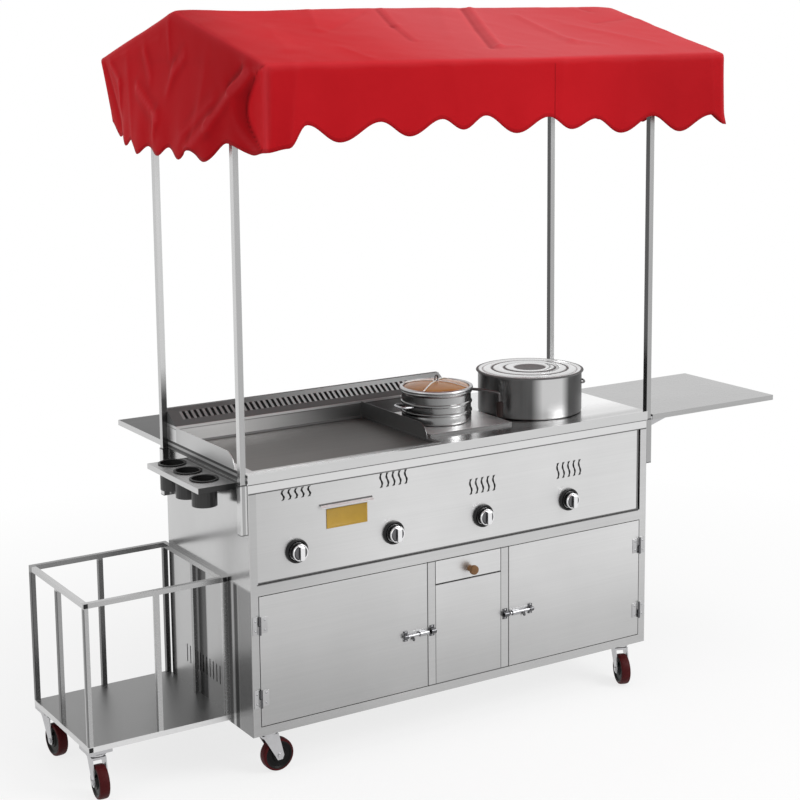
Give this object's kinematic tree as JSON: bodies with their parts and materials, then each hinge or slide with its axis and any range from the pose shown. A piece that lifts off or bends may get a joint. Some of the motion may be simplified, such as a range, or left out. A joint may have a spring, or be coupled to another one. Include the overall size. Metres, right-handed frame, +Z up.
{
  "type": "snack cart",
  "caption": "Wheeled steel snack cart with griddle, covered pots, burner knobs, doors, drawer, side cage, lift-up shelves and a scalloped cloth canopy on posts.",
  "frame": {"origin": "middle of the cart's bounding box on the floor", "axes": "+X to the right along the front, +Y from front to back, +Z up"},
  "size_m": [2.173, 1.052, 1.959],
  "materials": {
    "stainless": "polished sheet",
    "griddle_steel": "smooth plate",
    "zinc": "zinc plated",
    "hardware_steel": "bright",
    "burner_iron": "rough",
    "pipe": "satin",
    "knob_chrome": "bright",
    "canopy_cloth": "coated cloth",
    "wheel_rubber": "matte",
    "pot_steel": "polished",
    "lid_glass": "clear amber"
  },
  "bodies": {
    "cart": {"cabinet_frame": "stainless", "end_panel_left": "stainless", "end_panel_right": "stainless", "back_panel": "stainless", "base_floor": "stainless", "centre_panel": "stainless", "control_panel": "stainless", "worktop": "stainless", "griddle_tray": "stainless", "flue_box": "stainless", "hob_plate": "stainless", "drawer_housing": "stainless", "roof_posts": "stainless", "roof_frame": "stainless", "post_sockets": "stainless", "cage": "stainless", "cup_rack": "stainless", "griddle_plate": "griddle_steel", "flap_brackets": "zinc", "caster_plates": "zinc", "frame_hardware": "hardware_steel", "burners": "burner_iron", "gas_pipework": "pipe", "canopy": "canopy_cloth"},
    "knob_1": {"knob_1": "knob_chrome"},
    "knob_2": {"knob_2": "knob_chrome"},
    "knob_3": {"knob_3": "knob_chrome"},
    "knob_4": {"knob_4": "knob_chrome"},
    "drawer": {"drawer": "stainless"},
    "door_left": {"door_left": "stainless", "door_left_hardware": "hardware_steel"},
    "bolt_left": {"bolt_left": "hardware_steel"},
    "door_right": {"door_right": "stainless", "door_right_hardware": "hardware_steel"},
    "bolt_right": {"bolt_right": "hardware_steel"},
    "side_flap": {"side_flap": "stainless"},
    "rear_flap": {"rear_flap": "stainless"},
    "small_pot": {"small_pot": "pot_steel"},
    "small_lid": {"small_pot_lid": "pot_steel", "small_pot_glass": "lid_glass"},
    "big_pot": {"big_pot": "pot_steel"},
    "big_lid": {"big_pot_lid": "pot_steel"},
    "caster_fork_1": {"caster_fork_1": "zinc"},
    "caster_wheel_1": {"caster_wheel_1": "wheel_rubber"},
    "caster_fork_2": {"caster_fork_2": "zinc"},
    "caster_wheel_2": {"caster_wheel_2": "wheel_rubber"},
    "caster_fork_3": {"caster_fork_3": "zinc"},
    "caster_wheel_3": {"caster_wheel_3": "wheel_rubber"},
    "caster_fork_4": {"caster_fork_4": "zinc"},
    "caster_wheel_4": {"caster_wheel_4": "wheel_rubber"},
    "caster_fork_5": {"caster_fork_5": "zinc"},
    "caster_wheel_5": {"caster_wheel_5": "wheel_rubber"},
    "caster_fork_6": {"caster_fork_6": "zinc"},
    "caster_wheel_6": {"caster_wheel_6": "wheel_rubber"}
  },
  "joints": [
    {"name": "knob_1_turn", "type": "hinge", "parent": "cart", "child": "knob_1", "pos_m": [-0.5575, -0.287, 0.593], "axis": [0, -1, 0], "range_deg": [0, 180]},
    {"name": "knob_2_turn", "type": "hinge", "parent": "cart", "child": "knob_2", "pos_m": [-0.2675, -0.287, 0.593], "axis": [0, -1, 0], "range_deg": [0, 180]},
    {"name": "knob_3_turn", "type": "hinge", "parent": "cart", "child": "knob_3", "pos_m": [0.0195, -0.287, 0.593], "axis": [0, -1, 0], "range_deg": [0, 180]},
    {"name": "knob_4_turn", "type": "hinge", "parent": "cart", "child": "knob_4", "pos_m": [0.3115, -0.287, 0.593], "axis": [0, -1, 0], "range_deg": [0, 180]},
    {"name": "drawer_slide", "type": "slide", "parent": "cart", "child": "drawer", "axis": [0, -1, 0], "range_m": [0, 0.35]},
    {"name": "door_left_swing", "type": "hinge", "parent": "cart", "child": "door_left", "pos_m": [-0.6685, -0.291, 0.318], "axis": [0, 0, -1], "range_deg": [0, 120]},
    {"name": "bolt_left_slide", "type": "slide", "parent": "door_left", "child": "bolt_left", "axis": [1, 0, 0], "range_m": [0, 0.014]},
    {"name": "door_right_swing", "type": "hinge", "parent": "cart", "child": "door_right", "pos_m": [0.5695, -0.291, 0.318], "axis": [0, 0, 1], "range_deg": [0, 120]},
    {"name": "bolt_right_slide", "type": "slide", "parent": "door_right", "child": "bolt_right", "axis": [-1, 0, 0], "range_m": [0, 0.014]},
    {"name": "side_flap_lift", "type": "hinge", "parent": "cart", "child": "side_flap", "pos_m": [0.6215, -0.087, 0.789], "axis": [0, -1, 0], "range_deg": [0, 90]},
    {"name": "rear_flap_lift", "type": "hinge", "parent": "cart", "child": "rear_flap", "pos_m": [-0.2625, 0.217, 0.789], "axis": [1, 0, 0], "range_deg": [0, 90]},
    {"name": "small_pot_lift", "type": "slide", "parent": "cart", "child": "small_pot", "axis": [0, 0, 1], "range_m": [0, 0.2]},
    {"name": "small_lid_lift", "type": "slide", "parent": "small_pot", "child": "small_lid", "axis": [0, 0, 1], "range_m": [0, 0.15]},
    {"name": "big_pot_lift", "type": "slide", "parent": "cart", "child": "big_pot", "axis": [0, 0, 1], "range_m": [0, 0.2]},
    {"name": "big_lid_lift", "type": "slide", "parent": "big_pot", "child": "big_lid", "axis": [0, 0, 1], "range_m": [0, 0.15]},
    {"name": "caster_1_swivel", "type": "hinge", "parent": "cart", "child": "caster_fork_1", "pos_m": [-0.6325, -0.245, 0.11], "axis": [0, 0, 1], "continuous": true},
    {"name": "caster_1_roll", "type": "hinge", "parent": "caster_fork_1", "child": "caster_wheel_1", "pos_m": [-0.6045, -0.245, 0.044], "axis": [0, 1, 0], "continuous": true},
    {"name": "caster_2_swivel", "type": "hinge", "parent": "cart", "child": "caster_fork_2", "pos_m": [0.5335, -0.245, 0.11], "axis": [0, 0, 1], "continuous": true},
    {"name": "caster_2_roll", "type": "hinge", "parent": "caster_fork_2", "child": "caster_wheel_2", "pos_m": [0.52392, -0.27131, 0.044], "axis": [0.9397, -0.342, 0], "continuous": true},
    {"name": "caster_3_swivel", "type": "hinge", "parent": "cart", "child": "caster_fork_3", "pos_m": [-0.6325, 0.157, 0.11], "axis": [0, 0, 1], "continuous": true},
    {"name": "caster_3_roll", "type": "hinge", "parent": "caster_fork_3", "child": "caster_wheel_3", "pos_m": [-0.60825, 0.171, 0.044], "axis": [-0.5, 0.866, 0], "continuous": true},
    {"name": "caster_4_swivel", "type": "hinge", "parent": "cart", "child": "caster_fork_4", "pos_m": [0.5335, 0.157, 0.11], "axis": [0, 0, 1], "continuous": true},
    {"name": "caster_4_roll", "type": "hinge", "parent": "caster_fork_4", "child": "caster_wheel_4", "pos_m": [0.55775, 0.143, 0.044], "axis": [0.5, 0.866, 0], "continuous": true},
    {"name": "caster_5_swivel", "type": "hinge", "parent": "cart", "child": "caster_fork_5", "pos_m": [-1.0545, -0.125, 0.11], "axis": [0, 0, 1], "continuous": true},
    {"name": "caster_5_roll", "type": "hinge", "parent": "caster_fork_5", "child": "caster_wheel_5", "pos_m": [-1.05694, -0.15289, 0.044], "axis": [0.9962, -0.0872, 0], "continuous": true},
    {"name": "caster_6_swivel", "type": "hinge", "parent": "cart", "child": "caster_fork_6", "pos_m": [-1.0545, 0.187, 0.11], "axis": [0, 0, 1], "continuous": true},
    {"name": "caster_6_roll", "type": "hinge", "parent": "caster_fork_6", "child": "caster_wheel_6", "pos_m": [-1.05206, 0.15911, 0.044], "axis": [0.9962, 0.0872, 0], "continuous": true}
  ]
}
